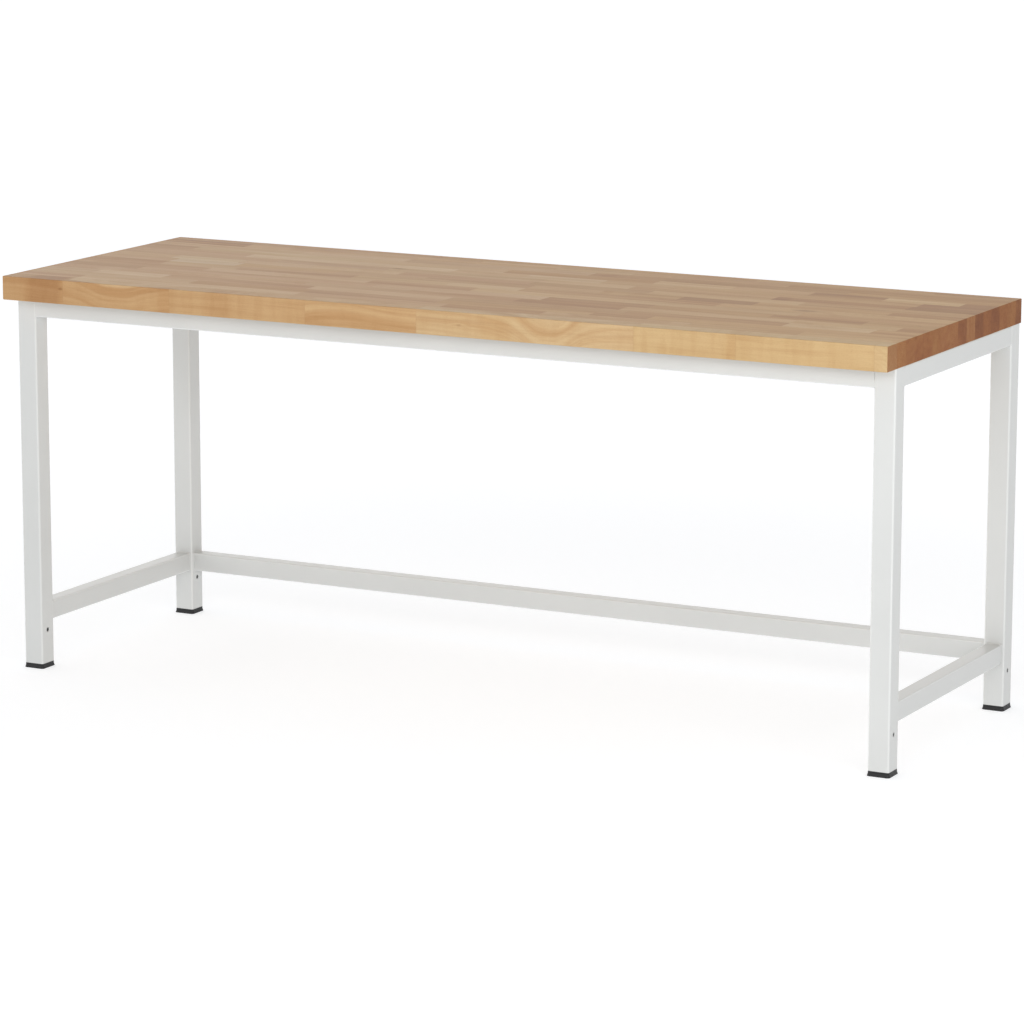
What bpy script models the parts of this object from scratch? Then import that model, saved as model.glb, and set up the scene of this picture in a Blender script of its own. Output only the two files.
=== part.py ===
"""Workbench: a laminated beech worktop on a welded frame of steel tube.

Metres, +Z up. The origin is on the floor under the middle of the worktop.
+X runs along the bench, -Y is the front, where the user stands.

The frame is four square legs, four rails under the worktop with their outer
faces flush with the legs, and three low rails at the left, right and rear, so
that the front is free for the feet. Every rail is cut square, butts against a
leg and is held by a fillet weld. The worktop overhangs the front legs, lies
flush with the rear legs, and is screwed on from below through lugs on the two
long rails. Each leg stands on a push-in plastic foot.
"""

import math

import bmesh
import bpy
from mathutils import Matrix, Vector

# ---------------------------------------------------------------- dimensions
HEIGHT = 0.850  # floor to working surface

TOP_LENGTH = 2.000
TOP_DEPTH = 0.700
TOP_THICK = 0.050
TOP_EDGE = 0.0012  # broken edges of the worktop

LEG = 0.045  # square tube, outside
LEG_WALL = 0.002
LEG_RADIUS = 0.004  # outer corner radius
LEG_END_INSET = 0.0025  # leg's outer face in from the worktop's end
FRONT_OVERHANG = 0.050  # worktop in front of the front legs
REAR_OVERHANG = 0.0

RAIL_HIGH = 0.040  # rectangular tube, outside
RAIL_WIDE = 0.035
RAIL_WALL = 0.002
RAIL_RADIUS = 0.003
LOW_RAIL_TOP = 0.140
LOW_RAIL_INSET = (LEG - RAIL_WIDE) / 2  # low rails are centred on the legs

LEG_HOLE = 0.009  # through hole across each leg, below the low rails
LEG_HOLE_Z = 0.082

FOOT_HIGH = 0.010  # the part of the foot that shows
FOOT_FLARE = 0.0018  # foot is this much wider than the leg at the floor
FOOT_EDGE = 0.0008
SPIGOT_HIGH = 0.026
SPIGOT_WALL = 0.0025
SPIGOT_PLAY = 0.0004

WELD = 0.0028  # leg length of the fillet welds

LUG_X = (-0.700, 0.0, 0.700)
LUG_LONG = 0.040  # along the rail
LUG_REACH = 0.026  # out from the rail
LUG_THICK = 0.003
LUG_HOLE = 0.0066
LUG_CORNER = 0.005

SCREW_SHANK = 0.0050
SCREW_LONG = 0.032
SCREW_POINT = 0.005
SCREW_FLANGE = 0.0130
SCREW_FLANGE_THICK = 0.0013
SCREW_HEX = 0.0080  # across flats
SCREW_HEX_HIGH = 0.0042
PILOT = 0.0058
PILOT_DEEP = 0.031

GAP = 0.0003  # between touching pieces

# ------------------------------------------------------------------- derived
TOP_UNDER = HEIGHT - TOP_THICK
LEG_TOP = TOP_UNDER - GAP
LEG_FOOT = FOOT_HIGH + GAP
LEG_X = TOP_LENGTH / 2 - LEG_END_INSET - LEG / 2
LEG_FRONT_Y = -TOP_DEPTH / 2 + FRONT_OVERHANG + LEG / 2
LEG_REAR_Y = TOP_DEPTH / 2 - REAR_OVERHANG - LEG / 2
FRAME_X = LEG_X + LEG / 2  # outer faces of the frame
FRAME_FRONT = LEG_FRONT_Y - LEG / 2
FRAME_REAR = LEG_REAR_Y + LEG / 2
UPPER_Z = LEG_TOP - RAIL_HIGH / 2
LOWER_Z = LOW_RAIL_TOP - RAIL_HIGH / 2

# --------------------------------------------------------------------- scene
for old in list(bpy.data.objects):
    bpy.data.objects.remove(old, do_unlink=True)

bench = bpy.data.collections.new("workbench")
cutters = bpy.data.collections.new("workbench_cutters")
bpy.context.scene.collection.children.link(bench)
bpy.context.scene.collection.children.link(cutters)

root = bpy.data.objects.new("workbench_root", None)
bench.objects.link(root)


def material(name, colour, roughness, metallic=0.0):
    mat = bpy.data.materials.new(name)
    mat.use_nodes = True
    shader = mat.node_tree.nodes["Principled BSDF"]
    shader.inputs["Base Color"].default_value = (*colour, 1.0)
    shader.inputs["Roughness"].default_value = roughness
    shader.inputs["Metallic"].default_value = metallic
    mat.diffuse_color = (*colour, 1.0)
    return mat


BEECH = material("oiled_beech", (0.47, 0.27, 0.13), 0.45)
PAINT = material("light_grey_powder_coat", (0.70, 0.71, 0.69), 0.32)
BLACK = material("black_polyethylene", (0.03, 0.03, 0.032), 0.5)
ZINC = material("zinc_plated_steel", (0.62, 0.62, 0.60), 0.35, 1.0)


def place(obj, mat):
    """Adds a finished piece to the bench."""
    bench.objects.link(obj)
    obj.parent = root
    obj.data.materials.clear()
    obj.data.materials.append(mat)
    return obj


def from_bmesh(name, bm):
    bmesh.ops.recalc_face_normals(bm, faces=bm.faces)
    mesh = bpy.data.meshes.new(name)
    bm.to_mesh(mesh)
    bm.free()
    return bpy.data.objects.new(name, mesh)


def smooth(obj, degrees=40):
    obj.data.shade_smooth()
    obj.data.set_sharp_from_angle(angle=math.radians(degrees))
    return obj


# ------------------------------------------------------------------ outlines
def rounded(width, height, radius, steps=4):
    """Outline of a rounded rectangle about the origin, anticlockwise."""
    points = []
    for quarter, (sx, sy) in enumerate(((1, 1), (-1, 1), (-1, -1), (1, -1))):
        cx, cy = sx * (width / 2 - radius), sy * (height / 2 - radius)
        for i in range(steps + 1):
            a = math.pi / 2 * (quarter + i / steps)
            points.append((cx + radius * math.cos(a), cy + radius * math.sin(a)))
    return points


def extruded(name, outlines, length):
    """A flat outline, with any holes, extruded along Z and centred."""
    curve = bpy.data.curves.new(name, "CURVE")
    curve.dimensions = "2D"
    curve.fill_mode = "BOTH"
    curve.extrude = length / 2
    for outline in outlines:
        spline = curve.splines.new("POLY")
        spline.points.add(len(outline) - 1)
        for point, (x, y) in zip(spline.points, outline):
            point.co = (x, y, 0.0, 1.0)
        spline.use_cyclic_u = True
    source = bpy.data.objects.new(name + "_outline", curve)
    bpy.context.scene.collection.objects.link(source)
    graph = bpy.context.evaluated_depsgraph_get()
    mesh = bpy.data.meshes.new_from_object(source.evaluated_get(graph))
    bpy.data.objects.remove(source, do_unlink=True)
    bpy.data.curves.remove(curve)
    bm = bmesh.new()
    bm.from_mesh(mesh)
    bpy.data.meshes.remove(mesh)
    bmesh.ops.remove_doubles(bm, verts=bm.verts, dist=1e-6)
    return from_bmesh(name, bm)


def tube(name, width, height, wall, radius, length):
    """Hollow section along Z."""
    return extruded(
        name,
        [
            rounded(width, height, radius),
            rounded(width - 2 * wall, height - 2 * wall, max(radius - wall, 0.0008)),
        ],
        length,
    )


def cutter(name, diameter, length, matrix, sides=16):
    bm = bmesh.new()
    bmesh.ops.create_cone(
        bm,
        cap_ends=True,
        segments=sides,
        radius1=diameter / 2,
        radius2=diameter / 2,
        depth=length,
    )
    obj = from_bmesh(name, bm)
    obj.matrix_world = matrix
    obj.hide_render = True
    obj.display_type = "WIRE"
    cutters.objects.link(obj)
    return obj


def cut(obj, tool):
    mod = obj.modifiers.new("cut_" + tool.name, "BOOLEAN")
    mod.operation = "DIFFERENCE"
    mod.solver = "EXACT"
    mod.object = tool


# ------------------------------------------------------------------- worktop
bm = bmesh.new()
bmesh.ops.create_cube(bm, size=1.0)
bmesh.ops.scale(bm, vec=(TOP_LENGTH, TOP_DEPTH, TOP_THICK), verts=bm.verts)
worktop = place(from_bmesh("worktop", bm), BEECH)
worktop.location = (0.0, 0.0, HEIGHT - TOP_THICK / 2)
edge = worktop.modifiers.new("broken_edges", "BEVEL")
edge.width = TOP_EDGE
edge.segments = 2
edge.limit_method = "ANGLE"

# ---------------------------------------------------------------------- legs
LEGS = {
    "front_left": (-LEG_X, LEG_FRONT_Y),
    "front_right": (LEG_X, LEG_FRONT_Y),
    "rear_left": (-LEG_X, LEG_REAR_Y),
    "rear_right": (LEG_X, LEG_REAR_Y),
}
ALONG_X = Matrix.Rotation(math.pi / 2, 4, "Y")  # turns a Z extrusion to X
ALONG_Y = Matrix.Rotation(-math.pi / 2, 4, "X")  # and to Y

for corner, (x, y) in LEGS.items():
    leg = tube("leg_" + corner, LEG, LEG, LEG_WALL, LEG_RADIUS, LEG_TOP - LEG_FOOT)
    smooth(place(leg, PAINT))
    leg.location = (x, y, (LEG_TOP + LEG_FOOT) / 2)
    hole = cutter(
        "hole_" + corner,
        LEG_HOLE,
        LEG * 1.4,
        Matrix.Translation((x, y, LEG_HOLE_Z)) @ ALONG_X,
    )
    cut(leg, hole)


# --------------------------------------------------------------------- rails
def rail(name, start, end):
    """A tube between two leg faces: RAIL_WIDE across, RAIL_HIGH upright."""
    start, end = Vector(start), Vector(end)
    run = (end - start).normalized()
    length = (end - start).length - 2 * GAP
    if abs(run.x) > 0.5:
        # local X is upright after the turn to X
        obj = tube(name, RAIL_HIGH, RAIL_WIDE, RAIL_WALL, RAIL_RADIUS, length)
        turn = ALONG_X
    else:
        obj = tube(name, RAIL_WIDE, RAIL_HIGH, RAIL_WALL, RAIL_RADIUS, length)
        turn = ALONG_Y
    smooth(place(obj, PAINT))
    obj.matrix_world = Matrix.Translation((start + end) / 2) @ turn
    return obj


INNER_X = LEG_X - LEG / 2  # leg faces that the long rails meet
INNER_FRONT = LEG_FRONT_Y + LEG / 2  # leg faces that the side rails meet
INNER_REAR = LEG_REAR_Y - LEG / 2
UP_FRONT_Y = FRAME_FRONT + RAIL_WIDE / 2
UP_REAR_Y = FRAME_REAR - RAIL_WIDE / 2
UP_SIDE_X = FRAME_X - RAIL_WIDE / 2
LOW_REAR_Y = LEG_REAR_Y
LOW_SIDE_X = LEG_X

# name: (start, end, outward direction of the face that is flush, or None)
RAILS = {
    "upper_rail_front": (
        (-INNER_X, UP_FRONT_Y, UPPER_Z),
        (INNER_X, UP_FRONT_Y, UPPER_Z),
        (0, -1, 0),
    ),
    "upper_rail_rear": (
        (-INNER_X, UP_REAR_Y, UPPER_Z),
        (INNER_X, UP_REAR_Y, UPPER_Z),
        (0, 1, 0),
    ),
    "upper_rail_left": (
        (-UP_SIDE_X, INNER_FRONT, UPPER_Z),
        (-UP_SIDE_X, INNER_REAR, UPPER_Z),
        (-1, 0, 0),
    ),
    "upper_rail_right": (
        (UP_SIDE_X, INNER_FRONT, UPPER_Z),
        (UP_SIDE_X, INNER_REAR, UPPER_Z),
        (1, 0, 0),
    ),
    "lower_rail_rear": (
        (-INNER_X, LOW_REAR_Y, LOWER_Z),
        (INNER_X, LOW_REAR_Y, LOWER_Z),
        None,
    ),
    "lower_rail_left": (
        (-LOW_SIDE_X, INNER_FRONT, LOWER_Z),
        (-LOW_SIDE_X, INNER_REAR, LOWER_Z),
        None,
    ),
    "lower_rail_right": (
        (LOW_SIDE_X, INNER_FRONT, LOWER_Z),
        (LOW_SIDE_X, INNER_REAR, LOWER_Z),
        None,
    ),
}
for name, (start, end, flush) in RAILS.items():
    rail(name, start, end)


# --------------------------------------------------------------------- welds
def loft(name, sections, closed):
    """Skins a run of equal-count sections; caps the ends unless it closes."""
    bm = bmesh.new()
    rings = [[bm.verts.new(p) for p in section] for section in sections]
    count = len(rings[0])
    spans = len(rings) if closed else len(rings) - 1
    for i in range(spans):
        a, b = rings[i], rings[(i + 1) % len(rings)]
        for j in range(count):
            k = (j + 1) % count
            bm.faces.new((a[j], a[k], b[k], b[j]))
    if not closed:
        bm.faces.new(rings[0])
        bm.faces.new(rings[-1])
    return from_bmesh(name, bm)


def fillet(base, out, away):
    """Section of a slightly hollow fillet weld in the corner of rail and leg."""
    near, far = GAP, WELD
    low = base + out * near + away * near
    mid = near + (far - near) * 0.42
    return [
        low,
        base + out * far + away * near,
        base + out * mid + away * mid,
        base + out * near + away * far,
    ]


def rail_weld(name, at, away, flush):
    """Fillet round a rail's end: right round a low rail, under and inside a
    rail whose outer face is flush with the leg."""
    at, away = Vector(at), Vector(away)
    up = Vector((0, 0, 1))
    if flush is None:
        side = up.cross(away)
        outline = rounded(RAIL_WIDE, RAIL_HIGH, RAIL_RADIUS, 3)
        stations = []
        for i, (u, v) in enumerate(outline):
            cu = max(-RAIL_WIDE / 2 + RAIL_RADIUS, min(RAIL_WIDE / 2 - RAIL_RADIUS, u))
            cv = max(-RAIL_HIGH / 2 + RAIL_RADIUS, min(RAIL_HIGH / 2 - RAIL_RADIUS, v))
            out = (side * (u - cu) + up * (v - cv)).normalized()
            stations.append((at + side * u + up * v, out))
        closed = True
    else:
        inner = -Vector(flush)
        half_w, half_h = RAIL_WIDE / 2, RAIL_HIGH / 2
        r = RAIL_RADIUS
        stations = [
            # just inside the leg's rounded corner, under the rail
            (at - inner * (half_w - LEG_RADIUS) - up * half_h, -up),
        ]
        for i in range(4):
            a = math.pi / 2 * i / 3
            out = -up * math.cos(a) + inner * math.sin(a)
            centre = at + inner * (half_w - r) - up * (half_h - r)
            stations.append((centre + out * r, out))
        # stops short of the worktop
        stations.append((at + inner * half_w + up * (half_h - 0.002), inner))
        closed = False
    obj = loft(name, [fillet(p, out, away) for p, out in stations], closed)
    return smooth(place(obj, PAINT), 35)


for name, (start, end, flush) in RAILS.items():
    run = (Vector(end) - Vector(start)).normalized()
    ends = ("left", "right") if abs(run.x) > 0.5 else ("front", "rear")
    label = name.replace("_rail", "")
    rail_weld("weld_" + label + "_" + ends[0] + "_end", start, run, flush)
    rail_weld("weld_" + label + "_" + ends[1] + "_end", end, -run, flush)


# ---------------------------------------------------------------------- feet
def foot(name, x, y):
    """Flared plastic foot with a hollow spigot that plugs the leg."""
    bore = LEG - 2 * LEG_WALL - 2 * SPIGOT_PLAY
    spigot_r = LEG_RADIUS - LEG_WALL
    wide = LEG + 2 * FOOT_FLARE

    def ring(size, radius, z):
        return [(x + u, y + v, z) for u, v in rounded(size, size, radius, 3)]

    hollow = bore - 2 * SPIGOT_WALL
    sections = [
        ring(wide - 2 * FOOT_EDGE, LEG_RADIUS + FOOT_FLARE - FOOT_EDGE, 0.0),
        ring(wide, LEG_RADIUS + FOOT_FLARE, FOOT_EDGE),
        ring(LEG, LEG_RADIUS, FOOT_HIGH),
        ring(bore, spigot_r, FOOT_HIGH),
        ring(bore, spigot_r, FOOT_HIGH + SPIGOT_HIGH - 0.002),
        ring(bore - 0.0016, spigot_r, FOOT_HIGH + SPIGOT_HIGH),
        ring(hollow, 0.0008, FOOT_HIGH + SPIGOT_HIGH),
        ring(hollow, 0.0008, FOOT_HIGH * 0.4),
    ]
    return smooth(place(loft(name, sections, False), BLACK), 30)


for corner, (x, y) in LEGS.items():
    foot("foot_" + corner, x, y)


# ------------------------------------------------- lugs, screws, pilot holes
def hex_screw(name, x, y, seat):
    """Flanged hexagon-head wood screw, point up, with its flange at seat."""
    r, f = SCREW_SHANK / 2, SCREW_FLANGE / 2
    bm = bmesh.new()
    profile = [
        (0.0, seat + SCREW_LONG),
        (r * 0.18, seat + SCREW_LONG - 0.0004),
        (r, seat + SCREW_LONG - SCREW_POINT),
        (r, seat),
        (f, seat),
        (f, seat - SCREW_FLANGE_THICK * 0.5),
        (f * 0.86, seat - SCREW_FLANGE_THICK),
        (0.0, seat - SCREW_FLANGE_THICK),
    ]
    verts = [bm.verts.new((u, 0.0, z)) for u, z in profile]
    edges = [bm.edges.new(pair) for pair in zip(verts, verts[1:])]
    bmesh.ops.spin(
        bm,
        geom=verts + edges,
        cent=(0, 0, 0),
        axis=(0, 0, 1),
        angle=2 * math.pi,
        steps=16,
        use_merge=True,
    )
    bmesh.ops.remove_doubles(bm, verts=bm.verts, dist=1e-6)
    obj = smooth(place(from_bmesh(name, bm), ZINC), 30)
    obj.location = (x, y, 0.0)

    bm = bmesh.new()
    bmesh.ops.create_cone(
        bm,
        cap_ends=True,
        segments=6,
        radius1=SCREW_HEX / math.sqrt(3) * 0.94,
        radius2=SCREW_HEX / math.sqrt(3),
        depth=SCREW_HEX_HIGH + 0.0004,
    )
    head = from_bmesh(name + "_hexagon", bm)
    head.location = (
        x,
        y,
        seat - SCREW_FLANGE_THICK + 0.0004 - (SCREW_HEX_HIGH + 0.0004) / 2,
    )
    head.hide_render = True
    head.display_type = "WIRE"
    cutters.objects.link(head)
    mod = obj.modifiers.new("hexagon", "BOOLEAN")
    mod.operation = "UNION"
    mod.solver = "EXACT"
    mod.object = head
    return obj


LUG_TOP = TOP_UNDER - GAP
n = 0
for side, face, reach in (
    ("front", FRAME_FRONT + RAIL_WIDE + GAP, 1),
    ("rear", FRAME_REAR - RAIL_WIDE - GAP, -1),
):
    for label, x in zip(("left", "middle", "right"), LUG_X):
        n += 1
        y = face + reach * LUG_REACH / 2
        hole_y = face + reach * LUG_REACH * 0.52
        outline = rounded(LUG_LONG, LUG_REACH, LUG_CORNER, 3)
        circle = [
            (
                LUG_HOLE / 2 * math.cos(2 * math.pi * i / 16),
                hole_y - y + LUG_HOLE / 2 * math.sin(2 * math.pi * i / 16),
            )
            for i in range(16)
        ]
        # square corners where the lug meets the rail, round ones outside
        square = [
            (
                (math.copysign(LUG_LONG / 2, u), -reach * LUG_REACH / 2)
                if v * reach < 0
                else (u, v)
            )
            for u, v in outline
        ]
        square = [p for i, p in enumerate(square) if p != square[i - 1]]
        lug = extruded(f"fixing_lug_{side}_{label}", [square, circle], LUG_THICK)
        smooth(place(lug, PAINT))
        lug.location = (x, y, LUG_TOP - LUG_THICK / 2)
        hex_screw(
            f"fixing_screw_{side}_{label}", x, hole_y, LUG_TOP - LUG_THICK - GAP
        )
        cut(
            worktop,
            cutter(
                f"pilot_{side}_{label}",
                PILOT,
                2 * PILOT_DEEP,
                Matrix.Translation((x, hole_y, TOP_UNDER)),
                12,
            ),
        )
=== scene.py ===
"""Looks of the workbench: glued beech staves on a welded, powder-coated frame.

Metres, +Z up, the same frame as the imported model.
"""

import math
import random

import bmesh
import bpy
from mathutils import Matrix, Vector


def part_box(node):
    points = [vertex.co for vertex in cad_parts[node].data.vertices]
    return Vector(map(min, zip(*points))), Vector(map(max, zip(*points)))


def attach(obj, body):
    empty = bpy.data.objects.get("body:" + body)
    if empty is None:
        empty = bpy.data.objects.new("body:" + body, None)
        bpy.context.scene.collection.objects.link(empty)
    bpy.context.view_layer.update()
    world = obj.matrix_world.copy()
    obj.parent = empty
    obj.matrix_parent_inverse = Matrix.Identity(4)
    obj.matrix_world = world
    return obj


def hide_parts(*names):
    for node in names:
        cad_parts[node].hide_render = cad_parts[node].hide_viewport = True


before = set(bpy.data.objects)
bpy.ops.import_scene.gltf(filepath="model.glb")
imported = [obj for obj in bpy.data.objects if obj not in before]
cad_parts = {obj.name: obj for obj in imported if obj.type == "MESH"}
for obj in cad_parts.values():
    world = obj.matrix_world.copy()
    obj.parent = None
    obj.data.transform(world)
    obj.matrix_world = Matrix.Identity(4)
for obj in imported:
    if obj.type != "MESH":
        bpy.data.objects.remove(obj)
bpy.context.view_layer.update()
rng = random.Random(7043)


# ------------------------------------------------------------- node helpers
class Tree:
    """Short hand for building one material's nodes."""

    def __init__(self, name):
        self.mat = bpy.data.materials.new(name)
        self.mat.use_nodes = True
        self.nt = self.mat.node_tree
        self.shader = self.nt.nodes["Principled BSDF"]

    def node(self, kind, inputs=(), **props):
        n = self.nt.nodes.new(kind)
        for key, value in props.items():
            setattr(n, key, value)
        for key, value in dict(inputs).items():
            self.put(n.inputs[key], value)
        return n

    def put(self, socket, value):
        if isinstance(value, bpy.types.NodeSocket):
            self.nt.links.new(value, socket)
        else:
            socket.default_value = value

    def math(self, op, a, b=0.0, c=0.0, clamp=False):
        n = self.node("ShaderNodeMath", operation=op, use_clamp=clamp)
        for i, value in enumerate((a, b, c)):
            self.put(n.inputs[i], value)
        return n.outputs[0]

    def vec(self, op, a, b=(0.0, 0.0, 0.0), out=0):
        n = self.node("ShaderNodeVectorMath", operation=op)
        self.put(n.inputs[0], a)
        self.put(n.inputs[1], b)
        return n.outputs[out]

    def parts(self, v):
        n = self.node("ShaderNodeSeparateXYZ", {0: v})
        return n.outputs[0], n.outputs[1], n.outputs[2]

    def attr(self, name):
        return self.node("ShaderNodeAttribute", attribute_name=name).outputs["Vector"]

    def place(self):
        return self.node("ShaderNodeTexCoord").outputs["Object"]

    def noise(self, vector, scale=1.0, detail=2.0, rough=0.5):
        n = self.node(
            "ShaderNodeTexNoise",
            {"Vector": vector, "Scale": scale, "Detail": detail, "Roughness": rough},
        )
        return n.outputs["Fac"]

    def remap(self, value, low, high, to_low=0.0, to_high=1.0, kind="SMOOTHSTEP"):
        n = self.node("ShaderNodeMapRange", interpolation_type=kind, clamp=True)
        for i, v in enumerate((value, low, high, to_low, to_high)):
            self.put(n.inputs[i], v)
        return n.outputs[0]

    def ramp(self, value, stops, kind="LINEAR"):
        n = self.node("ShaderNodeValToRGB", {0: value})
        n.color_ramp.interpolation = kind
        bar = n.color_ramp.elements
        while len(bar) < len(stops):
            bar.new(0.5)
        for element, (at, colour) in zip(bar, stops):
            element.position = at
            element.color = (*colour, 1.0) if len(colour) == 3 else colour
        return n.outputs[0]

    def mix(self, factor, a, b, blend="MIX"):
        n = self.node("ShaderNodeMix", data_type="RGBA", blend_type=blend)
        self.put(n.inputs[0], factor)
        for socket, value in ((n.inputs[6], a), (n.inputs[7], b)):
            if isinstance(value, tuple) and len(value) == 3:
                value = (*value, 1.0)
            self.put(socket, value)
        return n.outputs[2]

    def bump(self, height, strength, distance):
        n = self.node(
            "ShaderNodeBump",
            {"Strength": strength, "Distance": distance, "Height": height},
        )
        return n.outputs["Normal"]


# ---------------------------------------------------------------- materials
def beech():
    """Steamed, oiled beech. Each stave carries its own growth rings: they lie
    round a pith axis that runs along the stave, a little tilted and humped,
    with patches of red heart and now and then a pin knot."""
    t = Tree("oiled_beech_staves")
    p = t.place()
    low, high = t.attr("stave_low"), t.attr("stave_high")
    pith, lean, look = t.attr("stave_pith"), t.attr("stave_lean"), t.attr("stave_look")
    seed, knot = t.attr("stave_seed"), t.attr("stave_knot")
    knot_size = t.parts(low)[2]
    end, gold, flame = t.parts(t.attr("stave_end"))
    hump_x, hump_w, vary = t.parts(t.attr("stave_hump"))
    heart_r, heart_soft, heart_k = t.parts(t.attr("stave_heart"))
    flush_x, flush_w, flush_k = t.parts(t.attr("stave_flush"))
    tone, warm, figure = t.parts(look)

    own = t.vec("ADD", p, seed)
    px, _, _ = t.parts(p)
    q = t.vec("SUBTRACT", p, t.attr("stave_mid"))
    qx, qy, qz = t.parts(q)
    pith_y, pith_z, ring_wide = t.parts(pith)
    lean_y, lean_z, bow = t.parts(lean)

    # distance from the pith, in metres
    wave = t.noise(t.vec("MULTIPLY", own, (3.2, 22.0, 22.0)), 1.0, 3.0, 0.55)
    wave = t.math("MULTIPLY", t.math("SUBTRACT", wave, 0.5), 0.013)
    s = t.math("DIVIDE", t.math("SUBTRACT", px, hump_x), hump_w)
    s = t.math("POWER", t.math("MULTIPLY", s, s), 1.5)
    curve = t.math("MULTIPLY", bow, t.math("DIVIDE", s, t.math("ADD", s, 1.0)))
    ry = t.math("ADD", t.math("SUBTRACT", qy, pith_y), t.math("MULTIPLY", lean_y, qx))
    rz = t.math("ADD", t.math("SUBTRACT", qz, pith_z), t.math("MULTIPLY", lean_z, qx))
    rz = t.math("ADD", rz, curve)
    far = t.math(
        "SQRT", t.math("ADD", t.math("MULTIPLY", ry, ry), t.math("MULTIPLY", rz, rz))
    )
    core = t.vec("LENGTH", t.vec("MULTIPLY", t.vec("SUBTRACT", p, knot), (0.45, 1.0, 1.0)), out=1)
    core = t.math("DIVIDE", core, knot_size)
    far = t.math("ADD", far, t.remap(core, 0.0, 0.013, 0.0045, 0.0))
    near_ring = t.math("MULTIPLY_ADD", wave, 0.35, far)
    far = t.math("ADD", far, wave)
    year = t.math("DIVIDE", far, ring_wide)
    whole = t.math("FLOOR", year)
    part = t.math("SUBTRACT", year, whole)
    # the late wood darkens slowly and ends at once
    late = t.ramp(
        part,
        [
            (0.0, (0.36, 0.36, 0.36)),
            (0.16, (0.0, 0.0, 0.0)),
            (0.50, (0.20, 0.20, 0.20)),
            (0.86, (1.0, 1.0, 1.0)),
            (1.0, (0.36, 0.36, 0.36)),
        ],
        "B_SPLINE",
    )
    odd = t.node(
        "ShaderNodeTexWhiteNoise",
        {"Vector": t.vec("ADD", seed, t.node("ShaderNodeCombineXYZ", {0: whole}).outputs[0])},
        noise_dimensions="3D",
    ).outputs["Value"]
    # wide soft zones of darker and paler years
    zone = t.noise(
        t.vec(
            "ADD",
            seed,
            t.node(
                "ShaderNodeCombineXYZ",
                {0: t.math("MULTIPLY", far, 78.0), 1: t.math("MULTIPLY", qx, 2.0)},
            ).outputs[0],
        ),
        1.0,
        2.0,
        0.6,
    )

    streak = t.noise(t.vec("MULTIPLY", own, (4.0, 130.0, 130.0)), 1.0, 5.0, 0.65)
    fibre = t.noise(t.vec("MULTIPLY", own, (26.0, 1500.0, 1500.0)), 1.0, 2.0, 0.6)
    cloud = t.noise(t.vec("MULTIPLY", own, (5.0, 16.0, 16.0)), 1.0, 3.0, 0.55)
    curl = t.noise(t.vec("MULTIPLY", own, (48.0, 9.0, 9.0)), 1.0, 2.0, 0.5)
    band = t.noise(t.vec("MULTIPLY", own, (1.6, 36.0, 36.0)), 1.0, 2.0, 0.55)
    # short brown rays, about 2 mm long
    dash = t.node(
        "ShaderNodeTexVoronoi",
        {
            "Vector": t.vec("MULTIPLY", own, (260.0, 1250.0, 1250.0)),
            "Scale": 1.0,
            "Randomness": 1.0,
        },
        feature="F1",
    ).outputs["Distance"]
    ray = t.remap(dash, 0.16, 0.34, 1.0, 0.0)

    # tone of the stave, changed by its red heart and by flushes of colour
    inside = t.remap(
        near_ring, t.math("SUBTRACT", heart_r, heart_soft), t.math("ADD", heart_r, heart_soft), 1.0, 0.0
    )
    off = t.math("ABSOLUTE", t.math("SUBTRACT", px, flush_x))
    off = t.math("MULTIPLY_ADD", t.math("SUBTRACT", cloud, 0.5), 0.030, off)
    flushed = t.remap(
        off, t.math("MULTIPLY", flush_w, 0.62), t.math("MULTIPLY", flush_w, 1.30), 1.0, 0.0
    )
    tone = t.math("MULTIPLY_ADD", inside, heart_k, tone)
    tone = t.math("MULTIPLY_ADD", t.math("SUBTRACT", band, 0.5), vary, tone)
    tone = t.math("MULTIPLY_ADD", flushed, flush_k, tone, clamp=True)

    # colour of the stave, from pale to deep
    body = t.ramp(
        tone,
        [
            (0.0, (0.600, 0.470, 0.312)),
            (0.30, (0.545, 0.384, 0.218)),
            (0.60, (0.455, 0.280, 0.134)),
            (1.0, (0.318, 0.158, 0.062)),
        ],
    )
    body = t.mix(warm, body, (1.0, 0.905, 0.83), "MULTIPLY")
    body = t.mix(gold, body, (0.985, 0.965, 0.77), "MULTIPLY")
    body = t.mix(
        t.math("MULTIPLY", t.math("SUBTRACT", cloud, 0.32, clamp=True), 0.80),
        body,
        (0.87, 0.78, 0.69),
        "MULTIPLY",
    )
    body = t.mix(
        t.math("MULTIPLY", t.remap(curl, 0.42, 0.72), flame), body, (0.91, 0.86, 0.79), "MULTIPLY"
    )
    ring = t.math("MULTIPLY", late, t.math("MULTIPLY_ADD", odd, 0.7, 0.45))
    ring = t.math("MULTIPLY", ring, figure)
    colour = t.mix(t.math("MULTIPLY", ring, 0.30), body, (0.76, 0.63, 0.50), "MULTIPLY")
    zoned = t.math("MULTIPLY", t.remap(zone, 0.40, 0.74), figure)
    colour = t.mix(t.math("MULTIPLY", zoned, 0.70), colour, (0.84, 0.72, 0.58), "MULTIPLY")
    colour = t.mix(
        t.math("MULTIPLY", t.remap(streak, 0.40, 0.74), t.math("MULTIPLY_ADD", vary, 0.45, 0.62)),
        colour,
        (0.86, 0.79, 0.71),
        "MULTIPLY",
    )
    colour = t.mix(
        t.math("MULTIPLY", t.remap(fibre, 0.35, 0.75), 0.30), colour, (0.84, 0.78, 0.72), "MULTIPLY"
    )
    colour = t.mix(t.math("MULTIPLY", ray, 0.42), colour, (0.62, 0.48, 0.38), "MULTIPLY")
    colour = t.mix(
        t.math("MULTIPLY", t.remap(core, 0.0004, 0.0040, 1.0, 0.0), 0.72),
        colour,
        (0.58, 0.46, 0.34),
        "MULTIPLY",
    )

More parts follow.
